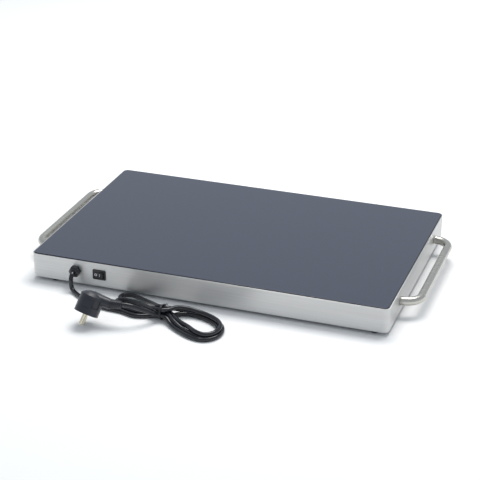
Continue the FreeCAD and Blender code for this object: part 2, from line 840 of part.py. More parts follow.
def cores():
    """Insulated cores between the cord, the switch, the limiter, the block and the heater."""
    split = cord_inlet_end
    upper = gland_z + 1.2
    lower = gland_z - 2.2
    low = shell_bottom + 3.6
    block_z = shell_bottom + block_height / 2
    block_in = block_y + block_depth / 2 - block_grip
    blade_y = front + switch_depth + blade_length
    left_blade = switch_x - blade_pitch / 2
    right_blade = switch_x + blade_pitch / 2
    limiter_z = tray_bottom - limiter_height - limiter_blade
    limiter_in = limiter_x + limiter_blade_pitch
    limiter_out = limiter_x - limiter_blade_pitch
    way = block_x - block_pitch
    tag_end = earth_x + tag_length
    tag_z = shell_bottom + tag_barrel
    return {
        "core_live_supply": [
            (gland_x + 1.8, split, upper), (gland_x + 1.8, split + 4.5, upper),
            (gland_x + 18.4, split + 22, 24), (left_blade, blade_y + 16, switch_z),
            (left_blade, blade_y, switch_z)],
        "core_live_switched": [
            (right_blade, blade_y, switch_z), (right_blade, blade_y + 14, switch_z),
            (limiter_in + 2, block_y + 28, 16), (limiter_in + 3, limiter_y - 32, low + 1),
            (limiter_in, limiter_y, low), (limiter_in, limiter_y, limiter_z)],
        "core_live_heater": [
            (limiter_out, limiter_y, limiter_z), (limiter_out, limiter_y, low),
            (limiter_out - 15, limiter_y + 3, low), (core_entry_left, core_entry_y, low + 4),
            (core_entry_left, core_entry_y, mat_bottom)],
        "core_neutral_supply": [
            (gland_x - 1.8, split, upper), (gland_x - 1.8, split + 4.5, upper),
            (gland_x + 8.4, split + 30, 19), (way - 35, block_y + 24, 12),
            (way, block_y + 24, block_z), (way, block_in, block_z)],
        "core_neutral_heater": [
            (block_x, block_in, block_z), (block_x, block_in + 28, block_z),
            (block_x + 1.5, block_in + 56, low + 2), (core_entry_right, core_entry_y, low + 2),
            (core_entry_right, core_entry_y, mat_bottom)],
        "core_earth": [
            (gland_x, split, lower), (gland_x, split + 4, lower), (gland_x, split + 18, 13),
            (tag_end + 12, earth_y, tag_z), (tag_end, earth_y, tag_z)],
    }


def cord_inlet():
    """The cord's sheath inside the gland, up to where its cores part."""
    start = vec(gland_x, gland_nose, gland_z)
    return rod(cord_radius, start, vec(0, 1, 0), cord_inlet_end - gland_nose)


def hank():
    """The tied hank's outer shape: a loop on the right, a waist and three bundles on the left."""
    level = bundle_radius
    bundles = [ring_route] + left_bundles
    pieces = []
    for line in bundles:
        pieces.append(tube([(x, y, level) for x, y in line], bundle_radius))
    for line in left_bundles[:2]:
        x, y = line[-1]
        pieces.append(Part.makeSphere(bundle_radius, vec(x, y, level)))
    x, y = waist_centre
    lift = waist_radius + tie_wire
    waist = rod(waist_radius, vec(x - waist_length / 2, y, lift), vec(1, 0, 0), waist_length)
    waist = waist.makeFillet(3.0, [e for e in waist.Edges if e.BoundBox.XLength < 1e-4])
    first, second = vec(*tail_route[0]), vec(*tail_route[1])
    heading = second - first
    heading.normalize()
    root = rod(cord_radius, first - heading * tail_root, heading, tail_root)
    solid = pieces[0].fuse(pieces[1:] + [waist, root])
    below = box(-400, 400, -500, 0, -50, 0)
    return solid.cut(below)


def cord_tie():
    """Coated wire wound round the waist, with its twisted end."""
    x, y = waist_centre
    lift = waist_radius + tie_wire
    start = vec(x - tie_width / 2, y, lift)
    ring = rod(waist_radius + tie_wire, start, vec(1, 0, 0), tie_width)
    ring = ring.cut(rod(waist_radius, start - vec(1, 0, 0), vec(1, 0, 0), tie_width + 2))
    spot = vec(x, y, lift + waist_radius)
    tail = rod(tie_wire, spot, vec(0.3, 0.3, 0.9), tie_tail)
    inside = rod(waist_radius, start - vec(10, 0, 0), vec(1, 0, 0), 20 + tie_width)
    return ring.fuse(tail.cut(inside))


def plug_frame():
    """Origin on the plug's face between its pins, and its three directions."""
    tilt = math.radians(plug_tilt)
    heading = math.radians(plug_heading)
    roll = math.radians(plug_roll)
    back = vec(math.cos(tilt) * math.cos(heading), math.cos(tilt) * math.sin(heading), math.sin(tilt))
    level = vec(0, 0, 1).cross(back)
    level.normalize()
    up = back.cross(level)
    pins = level * math.cos(roll) - up * math.sin(roll)
    along = pins.cross(back)
    face_z = pin_radius - pin_spacing / 2 * pins.z + (pin_length - pin_radius) * back.z
    return vec(plug_x, plug_y, face_z), along, pins, back


def place_plug(shape):
    """Carry a shape from the plug's own axes to where the plug lies."""
    origin, along, pins, back = plug_frame()
    move = FreeCAD.Matrix(along.x, pins.x, back.x, origin.x,
                          along.y, pins.y, back.y, origin.y,
                          along.z, pins.z, back.z, origin.z,
                          0, 0, 0, 1)
    placed = shape.copy()
    placed.Placement = FreeCAD.Placement(move)
    return placed


def relief_axis():
    """Start and direction of the strain relief in the plug's own axes."""
    turn = math.radians(neck_angle)
    return vec(neck_end, 0, neck_rise), vec(math.cos(turn), 0, math.sin(turn))


def plug_case():
    """Moulded plug: round front, crowned back, oblique neck and ribbed strain relief in one piece."""
    profile = [vec(0, 0, 0), vec(plug_radius, 0, 0), vec(plug_radius, 0, plug_side),
               vec(plug_crown[0], 0, plug_crown[1]), vec(plug_flat, 0, plug_depth), vec(0, 0, plug_depth)]
    drum = revolved(profile, vec(0, 0, 0), vec(0, 0, 1))
    drum = drum.makeFillet(plug_edge, level_edges(drum, plug_side))
    start, axis = relief_axis()
    side = vec(0, 1, 0)
    ring = Part.Circle(start, axis, relief_radius)
    ring.XAxis = side
    root_half = (plug_depth + neck_crown - neck_low) / 2
    root = Part.Ellipse(vec(0, 0, neck_low + root_half), neck_half_width, root_half)
    root.Axis = vec(1, 0, 0)
    root.XAxis = side
    neck = Part.makeLoft([Part.Wire(root.toShape()), Part.Wire(ring.toShape())], True, True)
    room = plug_radius + 2
    drum = drum.cut([thumb_pad(s, room) for s in (-1, 1)])
    case = drum.fuse([neck, strain_relief()] + [thumb_pad(s, grip_near) for s in (-1, 1)])
    cuts = []
    for s in (-1, 1):
        cuts.append(rod(pin_radius + thread_clearance, vec(0, s * pin_spacing / 2, -1), vec(0, 0, 1),
                        pin_seat + 1))
        grip = [vec(pad_right, s * grip_near, grip_low), vec(grip_right, s * grip_far, grip_low),
                vec(grip_right, s * room, grip_low), vec(pad_right, s * room, grip_low)]
        cuts.append(prism(grip, vec(0, 0, grip_high - grip_low)))
        inner = s * (plug_radius - clip_thickness - 0.6)
        outer = s * (plug_radius + 1)
        cuts.append(box(min(inner, outer), max(inner, outer), -clip_width / 2 - 0.3, clip_width / 2 + 0.3,
                        -1, clip_length + 0.3))
    return place_plug(case.cut(cuts))


def strain_relief():
    """Tapered relief with rings that bend with the cord."""
    start, axis = relief_axis()
    other = axis.cross(vec(0, 1, 0))
    pitch = relief_length / (relief_ribs + 1)
    groove = relief_radius - rib_depth
    profile = [start - axis * 2, start - axis * 2 + other * groove]
    for i in range(relief_ribs):
        crest = relief_radius + (relief_tip_radius - relief_radius) * (i + 1) / (relief_ribs + 1)
        at = start + axis * (pitch * i)
        profile += [at + axis * (pitch * 0.45) + other * (crest - rib_depth),
                    at + axis * (pitch * 0.5) + other * crest,
                    at + axis * (pitch * 0.95) + other * crest,
                    at + axis * pitch + other * (crest - rib_depth)]
    tip = start + axis * relief_length
    profile += [tip - axis * (pitch * 0.6) + other * (relief_tip_radius - rib_depth),
                tip - axis * (pitch * 0.5) + other * relief_tip_radius,
                tip + other * relief_tip_radius, tip]
    return revolved(profile, start, axis)


def thumb_pad(s, side):
    """Wedge between the flat of one grip, which rises to the right, and a level to its side."""
    flush = math.sqrt(plug_radius ** 2 - pad_left ** 2)
    rise = math.sqrt(plug_radius ** 2 - pad_right ** 2) + pad_proud
    outline = [vec(pad_left, s * flush, pad_low), vec(pad_right, s * rise, pad_low),
               vec(pad_right, s * side, pad_low), vec(pad_left, s * side, pad_low)]
    return prism(outline, vec(0, 0, pad_high - pad_low))


def plug_pins():
    pins = []
    for s in (-1, 1):
        y = s * pin_spacing / 2
        shank = rod(pin_radius, vec(0, y, pin_seat), vec(0, 0, -1), pin_seat + pin_length - pin_radius)
        tip = Part.makeSphere(pin_radius, vec(0, y, pin_radius - pin_length))
        pins.append(place_plug(shank.fuse(tip).removeSplitter()))
    return group(pins)


def plug_earth_clips():
    """Two spring strips laid in the grooves at the plug's sides."""
    clips = []
    for s in (-1, 1):
        inner = s * (plug_radius - clip_thickness - 0.6)
        outer = s * (plug_radius - 0.6)
        clips.append(place_plug(box(min(inner, outer), max(inner, outer), -clip_width / 2, clip_width / 2,
                                    0.4, clip_length)))
    return group(clips)


def tail_points():
    """Route of the cord from the waist to the end of the strain relief."""
    origin, along, pins, back = plug_frame()
    start, axis = relief_axis()
    end = start + axis * relief_length
    world = origin + along * end.x + pins * end.y + back * end.z
    heading = along * axis.x + back * axis.z
    near = world + heading * relief_run
    return tail_route + [(near.x, near.y, near.z), (world.x, world.y, world.z)]


def build():
    screws, washers = handle_fixings()
    parts = {
        "housing": housing(),
        "glass_top": glass(),
        "glass_seal": glass_seal(),
        "glass_ledge": glass_ledge(),
        "heating_mat": heating_mat(),
        "insulation_board": insulation_board(),
        "heater_tray": heater_tray(),
        "tray_screws": tray_screws(),
        "base_plate": base_plate(),
        "base_screws": base_screws(),
        "foot_screws": foot_screws(),
        "foot_nuts": foot_nuts(),
        "handle_left": handle(-1),
        "handle_right": handle(1),
        "handle_screws": screws,
        "handle_washers": washers,
        "gland_body": gland_body(),
        "gland_nut": gland_nut(),
        "gland_seal": gland_seal(),
        "gland_locknut": gland_locknut(),
        "switch_body": switch_body(),
        "switch_rocker": switch_rocker(),
        "switch_terminals": switch_terminals(),
        "terminal_block": terminal_block(),
        "block_screws": block_screws(),
        "thermal_limiter": thermal_limiter(),
        "limiter_screws": limiter_screws(),
        "earth_stud": earth_stud(),
        "earth_nut": earth_nut(),
        "earth_tag": earth_tag(),
        "cord_inlet": cord_inlet(),
        "cord_lead": tube(lead_route, cord_radius, "cord_lead"),
        "cord_hank": hank(),
        "cord_tail": tube(tail_points(), cord_radius, "cord_tail"),
        "cord_tie": cord_tie(),
        "plug_case": plug_case(),
        "plug_pins": plug_pins(),
        "plug_earth_clips": plug_earth_clips(),
    }
    for name, (x, y) in foot_places.items():
        parts["foot_" + name] = foot(x, y)
    for name, points in cores().items():
        parts[name] = tube(points, core_radius)
    return parts


def main():
    os.makedirs("parts", exist_ok=True)
    for name, shape in build().items():
        shape.exportStep(os.path.join("parts", name + ".step"))


main()
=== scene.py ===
import json
import math
import bpy
from mathutils import Matrix, Vector


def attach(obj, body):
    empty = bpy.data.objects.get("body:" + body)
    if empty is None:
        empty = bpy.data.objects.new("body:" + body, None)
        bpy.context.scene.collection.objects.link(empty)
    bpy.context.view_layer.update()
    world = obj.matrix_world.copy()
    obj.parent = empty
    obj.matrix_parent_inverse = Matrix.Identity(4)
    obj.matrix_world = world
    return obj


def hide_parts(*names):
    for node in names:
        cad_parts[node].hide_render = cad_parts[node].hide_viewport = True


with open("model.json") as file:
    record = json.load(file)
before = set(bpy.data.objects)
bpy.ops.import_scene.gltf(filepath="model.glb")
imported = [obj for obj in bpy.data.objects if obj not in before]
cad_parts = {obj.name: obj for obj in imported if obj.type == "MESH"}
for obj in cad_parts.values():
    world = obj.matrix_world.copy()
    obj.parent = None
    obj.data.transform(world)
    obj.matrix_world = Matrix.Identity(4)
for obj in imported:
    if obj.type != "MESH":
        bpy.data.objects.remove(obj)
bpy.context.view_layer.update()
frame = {"nodes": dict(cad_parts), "record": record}

bl_info = {
    "name": "Glass-topped warming plate",
    "version": (1, 0, 0),
    "blender": (4, 5, 0),
    "location": "3D View > Sidebar > Warming plate",
    "description": "Dresses the packed warming plate with its cord, tie, marks and finishes",
    "category": "Object",
}

PLATE = "plate"
ROCKER = "rocker"

# Where the cord runs outside the hank, in metres: the same points as in the part's source, then the
# last four of LEAD on to the tie
LEAD = [
    (-0.2224, -0.2025, 0.02875), (-0.2224, -0.2067, 0.02875), (-0.2222, -0.2108, 0.0257),
    (-0.2219, -0.2130, 0.0204), (-0.2216, -0.2134, 0.0130), (-0.2202, -0.2145, 0.0072),
    (-0.2162, -0.2172, 0.0043), (-0.2094, -0.2224, 0.0037), (-0.1980, -0.2304, 0.0037),
    (-0.1805, -0.2410, 0.0037), (-0.1600, -0.2496, 0.0037), (-0.1385, -0.2539, 0.0037),
    (-0.1170, -0.2539, 0.0037), (-0.1040, -0.2580, 0.0037), (-0.0920, -0.2619, 0.0037),
    (-0.0790, -0.2595, 0.0037), (-0.0660, -0.2535, 0.0037),
]
TAIL = [
    (-0.0575, -0.2680, 0.0176), (-0.0645, -0.2750, 0.0230), (-0.0755, -0.2825, 0.0298),
    (-0.08598, -0.28838, 0.03582), (-0.09775, -0.29076, 0.03586),
]

# Hank, in metres: the loop's middle line from the tie round its far side, its tip and its front side
LOOP = [
    (-0.0270, -0.2320), (-0.0100, -0.2268), (0.0100, -0.2296), (0.0300, -0.2368), (0.0470, -0.2480),
    (0.0555, -0.2650), (0.0527, -0.2850), (0.0400, -0.2965), (0.0220, -0.2942), (0.0020, -0.2832),
    (-0.0200, -0.2688),
]
# How far outside that line, and how high, each of the three turns lies at each of those points
FLOOR_LEVEL = 0.0037
LANES = [
    [(-0.0024, 0.0039), (-0.0018, FLOOR_LEVEL), (-0.0016, FLOOR_LEVEL), (-0.0018, FLOOR_LEVEL),
     (-0.0026, FLOOR_LEVEL), (-0.0033, FLOOR_LEVEL), (-0.0033, FLOOR_LEVEL), (-0.0033, FLOOR_LEVEL),
     (-0.0032, FLOOR_LEVEL), (-0.0016, 0.0040), (0.0004, 0.0093)],
    [(0.0005, 0.0184), (0.0005, 0.0138), (0.0005, 0.0112), *[(0.0005, 0.0105)] * 4,
     (0.0002, 0.0107), (-0.0030, 0.0109), (-0.0094, 0.0080), (-0.0062, 0.0090)],
    [(0.0039, 0.0090), (0.0050, 0.0048), (0.0053, FLOOR_LEVEL), (0.0050, FLOOR_LEVEL),
     (0.0044, FLOOR_LEVEL), (0.0039, FLOOR_LEVEL), (0.0039, FLOOR_LEVEL), (0.0042, FLOOR_LEVEL),
     (0.0050, FLOOR_LEVEL), (0.0060, FLOOR_LEVEL), (0.0054, 0.0042)],
]
# How much of a pass's own place in the bundle a turn keeps at its first points
KEPT = [1.0, 0.4, 0.1]
# The folds left of the tie: the front one comes back on top, the rear one beside it
FOLDS = [
    [
        (-0.0660, -0.2495, 0.0086), (-0.0780, -0.2506, 0.0048), (-0.0920, -0.2500, 0.0037),
        (-0.1060, -0.2472, 0.0037), (-0.1160, -0.2456, 0.0037), (-0.1255, -0.2446, 0.0039),
        (-0.1318, -0.2420, 0.0052), (-0.1336, -0.2362, 0.0074), (-0.1306, -0.2302, 0.0094),
        (-0.1230, -0.2284, 0.0104), (-0.1120, -0.2289, 0.0109), (-0.0980, -0.2320, 0.0113),
        (-0.0840, -0.2395, 0.0125), (-0.0700, -0.2480, 0.0150),
    ],
    [
        (-0.0680, -0.2390, 0.0065), (-0.0820, -0.2340, 0.0042), (-0.0970, -0.2300, 0.0037),
        (-0.1120, -0.2276, 0.0037), (-0.1250, -0.2240, 0.0037), (-0.1325, -0.2185, 0.0037),
        (-0.1370, -0.2100, 0.0037), (-0.1345, -0.2015, 0.0037), (-0.1260, -0.1970, 0.0037),
        (-0.1130, -0.1995, 0.0037), (-0.1000, -0.2065, 0.0045), (-0.0860, -0.2155, 0.0065),
        (-0.0730, -0.2260, 0.0105), (-0.0630, -0.2375, 0.0150),
    ],
]
TIE = (-0.0460, -0.2520, 0.0130)
# How far along the bundle each side of the tie the passes stay straight
STRAIGHT = 0.009
# Where each of the six passes lies in the tied bundle, as an angle from the rear upwards
PASSES = [262, None, 130, 354, 58, 202]

# Camera, measured from the photograph's own perspective
CAMERA_PLACE = (0.748108, -2.135463, 1.090186)
CAMERA_YAW = 19.4341
CAMERA_PITCH = 25.0491
CAMERA_ROLL = -0.0585
FOCAL_PIXELS = 1472.33
FRAME_PIXELS = 480
SENSOR_WIDTH = 36.0

# Rocker, the same as in the part's source: its face angle, its tilt at rest and its crest
FACE_ANGLE = math.radians(10.0)
TILT_AT_REST = math.radians(-10.0)
CREST = Vector((0.0, -0.0024, 0.0))


def srgb(code):
    """Linear red, green and blue of an sRGB hex colour."""
    parts = [int(code[i:i + 2], 16) / 255 for i in (1, 3, 5)]
    return tuple(v / 12.92 if v <= 0.04045 else ((v + 0.055) / 1.055) ** 2.4 for v in parts)


def add(tree, kind, settings=(), links=()):
    """A node with its settings, by property or socket name, and its links, by socket name."""
    node = tree.nodes.new(kind)
    for name, value in dict(settings).items():
        if isinstance(name, int) or name in node.inputs:
            node.inputs[name].default_value = value
        else:
            setattr(node, name, value)
    for name, socket in dict(links).items():
        tree.links.new(socket, node.inputs[name])
    return node


def start_material(name, colour, sockets):
    """A material whose shader has these sockets set on itself."""
    made = bpy.data.materials.new(name)
    made.use_nodes = True
    made.diffuse_color = (*colour, 1.0)
    shader = made.node_tree.nodes["Principled BSDF"]
    shader.inputs["Base Color"].default_value = (*colour, 1.0)
    for socket, value in sockets.items():
        shader.inputs[socket].default_value = value
    return made, made.node_tree, shader


def ramp(node, stops):
    """Set a colour ramp's stops, each a place and a grey value or colour."""
    band = node.color_ramp
    while len(band.elements) < len(stops):
        band.elements.new(1.0)
    for element, (place, value) in zip(band.elements, stops):
        element.position = place
        element.color = (*value, 1.0) if isinstance(value, tuple) else (value, value, value, 1.0)
    return node


def brushed_stainless(settings):
    """304 stainless sheet, belt-brushed along its length: soft reflections smeared across the grain."""
    colour = tuple(settings.steel)
    made, tree, shader = start_material("Brushed 304 stainless steel", colour, {
        "Metallic": 1.0, "Roughness": 0.45, "Anisotropic": 0.65, "Anisotropic Rotation": 0.25})
    place = add(tree, "ShaderNodeTexCoord")
    # Scratches 0.4 mm apart and about 60 mm long; a real belt leaves them finer than a render can show
    stretch = add(tree, "ShaderNodeMapping", {"Scale": (16.0, 16.0, 2500.0)},
                  {"Vector": place.outputs["Object"]})
    fine = add(tree, "ShaderNodeTexNoise", {"Scale": 1.0, "Detail": 3.0, "Roughness": 0.6},
               {"Vector": stretch.outputs["Vector"]})
    broad = add(tree, "ShaderNodeMapping", {"Scale": (5.0, 5.0, 420.0)},
                {"Vector": place.outputs["Object"]})
    bands = add(tree, "ShaderNodeTexNoise", {"Scale": 1.0, "Detail": 2.0},
                {"Vector": broad.outputs["Vector"]})
    tone = add(tree, "ShaderNodeMix", {"data_type": "RGBA", 6: (*(c * 0.9 for c in colour), 1.0),
                                       7: (*(min(1.0, c * 1.08) for c in colour), 1.0)},
               {"Factor": bands.outputs["Fac"]})
    rough = add(tree, "ShaderNodeMapRange", {"To Min": 0.4, "To Max": 0.54},
                {"Value": fine.outputs["Fac"]})
    bump = add(tree, "ShaderNodeBump", {"Strength": 0.12, "Distance": 0.00005},
               {"Height": fine.outputs["Fac"]})
    turn = add(tree, "ShaderNodeTangent", {"direction_type": "RADIAL", "axis": "Z"})
    tree.links.new(tone.outputs[2], shader.inputs["Base Color"])
    tree.links.new(rough.outputs["Result"], shader.inputs["Roughness"])
    tree.links.new(bump.outputs["Normal"], shader.inputs["Normal"])
    tree.links.new(turn.outputs["Tangent"], shader.inputs["Tangent"])
    return made


def satin_bar(settings):
    """Ground and buffed stainless bar: near-mirror, with faint turning lines round it."""
    colour = tuple(settings.bar)
    made, tree, shader = start_material("Buffed stainless bar", colour, {
        "Metallic": 1.0, "Roughness": 0.24})
    place = add(tree, "ShaderNodeTexCoord")
    # Buffing lines 0.5 mm apart run round the bar, which lies along Y
    stretch = add(tree, "ShaderNodeMapping", {"Scale": (60.0, 2000.0, 60.0)},
                  {"Vector": place.outputs["Object"]})
    lines = add(tree, "ShaderNodeTexNoise", {"Scale": 1.0, "Detail": 2.0},
                {"Vector": stretch.outputs["Vector"]})
    smudge = add(tree, "ShaderNodeTexNoise", {"Scale": 35.0, "Detail": 3.0},
                 {"Vector": place.outputs["Object"]})
    both = add(tree, "ShaderNodeMath", {"operation": "MULTIPLY"},
               {0: lines.outputs["Fac"], 1: smudge.outputs["Fac"]})
    rough = add(tree, "ShaderNodeMapRange", {"From Max": 0.5, "To Min": 0.22, "To Max": 0.3},
                {"Value": both.outputs["Value"]})
    tree.links.new(rough.outputs["Result"], shader.inputs["Roughness"])
    return made


def printed_glass(settings):
    """Tempered soda-lime glass over slate enamel: clear gloss on top, and a ground edge all round
    painted nearly black, partly as painted shade.
    """
    colour = tuple(settings.glass)
    made, tree, shader = start_material("Tempered glass on slate enamel", colour, {
        "Roughness": 0.04, "IOR": 1.52})
    place = add(tree, "ShaderNodeTexCoord")
    # Enamel grains about 0.6 mm across, drawn twice as coarse as the real print so that they show
    grain = add(tree, "ShaderNodeTexNoise", {"Scale": 1600.0, "Detail": 1.0},
                {"Vector": place.outputs["Object"]})
    cloud = add(tree, "ShaderNodeTexNoise", {"Scale": 4.0, "Detail": 3.0},
                {"Vector": place.outputs["Object"]})
    tone = add(tree, "ShaderNodeMix", {"data_type": "RGBA", 6: (*(c * 0.82 for c in colour), 1.0),
                                       7: (*(c * 1.18 for c in colour), 1.0)},
               {"Factor": grain.outputs["Fac"]})
    # Wiped glass: faint smears 50 to 250 mm wide
    rough = add(tree, "ShaderNodeMapRange", {"To Min": 0.03, "To Max": 0.09},
                {"Value": cloud.outputs["Fac"]})
    # The ground edge is matt and painted nearly black: partly the enamel seen through the glass's
    # depth, partly painted shade for the dark line along the glass's edge
    facing = add(tree, "ShaderNodeNewGeometry")
    split = add(tree, "ShaderNodeSeparateXYZ", {}, {"Vector": facing.outputs["True Normal"]})
    top = add(tree, "ShaderNodeMapRange", {"From Min": 0.4, "From Max": 0.8},
              {"Value": split.outputs["Z"]})
    # Painted shade: every face that does not face up gets the near-black colour
    painted_shade_edge = add(tree, "ShaderNodeMix", {"data_type": "RGBA", 6: (*srgb("#08090B"), 1.0)},
                {"Factor": top.outputs["Result"], 7: tone.outputs[2]})
    edge_rough = add(tree, "ShaderNodeMix", {2: 0.55},
                     {0: top.outputs["Result"], 3: rough.outputs["Result"]})
    gloss = add(tree, "ShaderNodeMapRange", {"To Min": 0.15, "To Max": 0.5},
                {"Value": top.outputs["Result"]})
    tree.links.new(painted_shade_edge.outputs[2], shader.inputs["Base Color"])
    tree.links.new(edge_rough.outputs[0], shader.inputs["Roughness"])
    tree.links.new(gloss.outputs["Result"], shader.inputs["Specular IOR Level"])
    return made


def moulded(name, colour, grit, depth, low, high, sockets=None):
    """Moulded plastic or rubber: spark-eroded grain of a given grit in metres, in a roughness range."""
    made, tree, shader = start_material(name, colour, dict(sockets or {}))
    place = add(tree, "ShaderNodeTexCoord")
    grain = add(tree, "ShaderNodeTexNoise", {"Scale": 1.0 / grit, "Detail": 2.0, "Roughness": 0.55},
                {"Vector": place.outputs["Object"]})
    patch = add(tree, "ShaderNodeTexNoise", {"Scale": 60.0, "Detail": 3.0},
                {"Vector": place.outputs["Object"]})
    tone = add(tree, "ShaderNodeMix", {"data_type": "RGBA", 6: (*(c * 0.85 for c in colour), 1.0),
                                       7: (*(min(1.0, c * 1.15) for c in colour), 1.0)},
               {"Factor": patch.outputs["Fac"]})
    rough = add(tree, "ShaderNodeMapRange", {"To Min": low, "To Max": high},
                {"Value": patch.outputs["Fac"]})
    bump = add(tree, "ShaderNodeBump", {"Strength": 0.25, "Distance": depth},
               {"Height": grain.outputs["Fac"]})
    tree.links.new(tone.outputs[2], shader.inputs["Base Color"])
    tree.links.new(rough.outputs["Result"], shader.inputs["Roughness"])
    tree.links.new(bump.outputs["Normal"], shader.inputs["Normal"])
    return made


def plated(name, colour, low, high, grit):
    """Plated or bare metal with a fine drawn or tumbled surface."""
    made, tree, shader = start_material(name, colour, {"Metallic": 1.0})
    place = add(tree, "ShaderNodeTexCoord")
    grain = add(tree, "ShaderNodeTexNoise", {"Scale": 1.0 / grit, "Detail": 3.0},
                {"Vector": place.outputs["Object"]})
    tone = add(tree, "ShaderNodeMix", {"data_type": "RGBA", 6: (*(c * 0.86 for c in colour), 1.0),
                                       7: (*(min(1.0, c * 1.08) for c in colour), 1.0)},
               {"Factor": grain.outputs["Fac"]})
    rough = add(tree, "ShaderNodeMapRange", {"To Min": low, "To Max": high},
                {"Value": grain.outputs["Fac"]})
    tree.links.new(tone.outputs[2], shader.inputs["Base Color"])
    tree.links.new(rough.outputs["Result"], shader.inputs["Roughness"])
    return made


def earth_core(first, second):
    """Green core insulation with its yellow stripe, wound so that both show from any side."""
    made, tree, shader = start_material("Green and yellow PVC insulation", first, {"Roughness": 0.45})
    place = add(tree, "ShaderNodeTexCoord")
    # Stripes about 2 mm wide
    wave = add(tree, "ShaderNodeTexWave", {"Scale": 80.0, "Distortion": 0.5},
               {"Vector": place.outputs["Object"]})
    split = ramp(add(tree, "ShaderNodeValToRGB", {}, {"Fac": wave.outputs["Fac"]}),
                 [(0.48, first), (0.52, second)])
    tree.links.new(split.outputs["Color"], shader.inputs["Base Color"])
    return made


def dress(made, *nodes):
    """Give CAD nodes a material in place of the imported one."""
    for name in nodes:
        node = frame["nodes"][name]
        for slot in node.material_slots:
            slot.link = "OBJECT"
            slot.material = made
        if not node.material_slots:
            raise RuntimeError(f"{name} has no material slot")


def nurbs(name, points, radius, made, sides=5, finish=8):
    """A round cord or wire on one smooth spline."""
    data = bpy.data.curves.new(name, "CURVE")
    data.dimensions = "3D"
    line = data.splines.new("NURBS")
    line.points.add(len(points) - 1)
    for point, place in zip(line.points, points):
        point.co = (*place, 1.0)
    line.order_u = 3
    line.use_endpoint_u = True
    line.resolution_u = finish
    data.bevel_depth = radius
    data.bevel_resolution = sides
    data.use_fill_caps = True
    data.materials.append(made)
    piece = bpy.data.objects.new(name, data)
    bpy.context.scene.collection.objects.link(piece)
    return piece


def mesh_piece(name, corners, faces, made):
    """A mesh object from its corners and faces, in row-frame metres."""
    data = bpy.data.meshes.new(name)
    data.from_pydata([tuple(c) for c in corners], [], faces)
    data.update()
    data.materials.append(made)
    piece = bpy.data.objects.new(name, data)
    bpy.context.scene.collection.objects.link(piece)
    return piece


def bundle_place(turn, spread):
    """Where a pass of the tie lies across the bundle: along Y and up."""
    if turn is None:
        return TIE[1], TIE[2]
    angle = math.radians(turn)
    return TIE[1] + spread * math.cos(angle), TIE[2] + spread * math.sin(angle)


def loop_turn(turn, first):
    """One turn of the loop after the pass of the tie whose place along Y is first."""
    made = []
    for i, (x, y) in enumerate(LOOP):
        before = LOOP[max(i - 1, 0)]
        after = LOOP[min(i + 1, len(LOOP) - 1)]
        along = Vector((after[0] - before[0], after[1] - before[1])).normalized()
        kept = KEPT[i] if i < len(KEPT) else 0.0
        aside, level = LANES[turn][i]
        side = Vector((-along.y, along.x)) * aside * (1 - kept)
        made.append((x + side.x, y + side.y + (first - TIE[1]) * kept, level))
    return made


def cord_points(spread):
    """The whole cord: its lead, three turns of the loop with two folds between, and its tail."""
    places = [bundle_place(turn, spread) for turn in PASSES]
    points = list(LEAD)
    for turn in range(3):
        outward, inward = places[2 * turn], places[2 * turn + 1]
        points += [(TIE[0] - STRAIGHT, *outward), (TIE[0] + STRAIGHT, *outward)]
        points += loop_turn(turn, outward[0])
        # The tail turns up and forwards as soon as it leaves the tie
        beyond = STRAIGHT if turn < 2 else STRAIGHT / 3
        points += [(TIE[0] + STRAIGHT, *inward), (TIE[0] - beyond, *inward)]
        if turn < 2:
            points += FOLDS[turn]
    return points + TAIL


def rocker_face(pivot, side, along, up, lift):
    """A point on one half of the rocker at rest, from its crease outwards, up, and off its face."""
    throw = Matrix.Rotation(TILT_AT_REST, 3, "Z")
    out = Vector((side * math.cos(FACE_ANGLE), -math.sin(FACE_ANGLE), 0.0))
    normal = Vector((-side * math.sin(FACE_ANGLE), -math.cos(FACE_ANGLE), 0.0))
    return pivot + throw @ (CREST + out * along + normal * lift) + Vector((0.0, 0.0, up))


class CordSettings(bpy.types.PropertyGroup):
    """Sizes and colours of the cord and its tie."""
    diameter: bpy.props.FloatProperty(
        name="Diameter", description="Outside diameter of the cord's sheath",
        default=0.0072, min=0.004, max=0.012, unit="LENGTH")
    spread: bpy.props.FloatProperty(
        name="Bundle spread",
        description="Distance of the outer passes from the middle of the tied bundle",
        default=0.0079, min=0.004, max=0.012, unit="LENGTH")
    wire: bpy.props.FloatProperty(
        name="Tie wire", description="Thickness of the coated wire tie",
        default=0.0014, min=0.001, max=0.003, unit="LENGTH")
    sheath: bpy.props.FloatVectorProperty(
        name="Sheath", description="Colour of the cord's sheath",
        default=srgb("#15181F"), subtype="COLOR", min=0.0, max=1.0)


class FinishSettings(bpy.types.PropertyGroup):
    """Colours of the plate's finishes."""
    steel: bpy.props.FloatVectorProperty(
        name="Shell", description="Colour of the brushed shell",
        default=srgb("#D2D2D1"), subtype="COLOR", min=0.0, max=1.0)
    bar: bpy.props.FloatVectorProperty(
        name="Handles", description="Colour of the handle bars",
        default=srgb("#BFBDB6"), subtype="COLOR", min=0.0, max=1.0)
    glass: bpy.props.FloatVectorProperty(
        name="Glass", description="Colour of the enamel under the glass",
        default=srgb("#3D4251"), subtype="COLOR", min=0.0, max=1.0)
    black: bpy.props.FloatVectorProperty(
        name="Black plastic", description="Colour of the plug, gland and switch",
        default=srgb("#20232C"), subtype="COLOR", min=0.0, max=1.0)
    pins: bpy.props.FloatVectorProperty(
        name="Pins", description="Colour of the plug's pins",
        default=srgb("#E3DCC6"), subtype="COLOR", min=0.0, max=1.0)


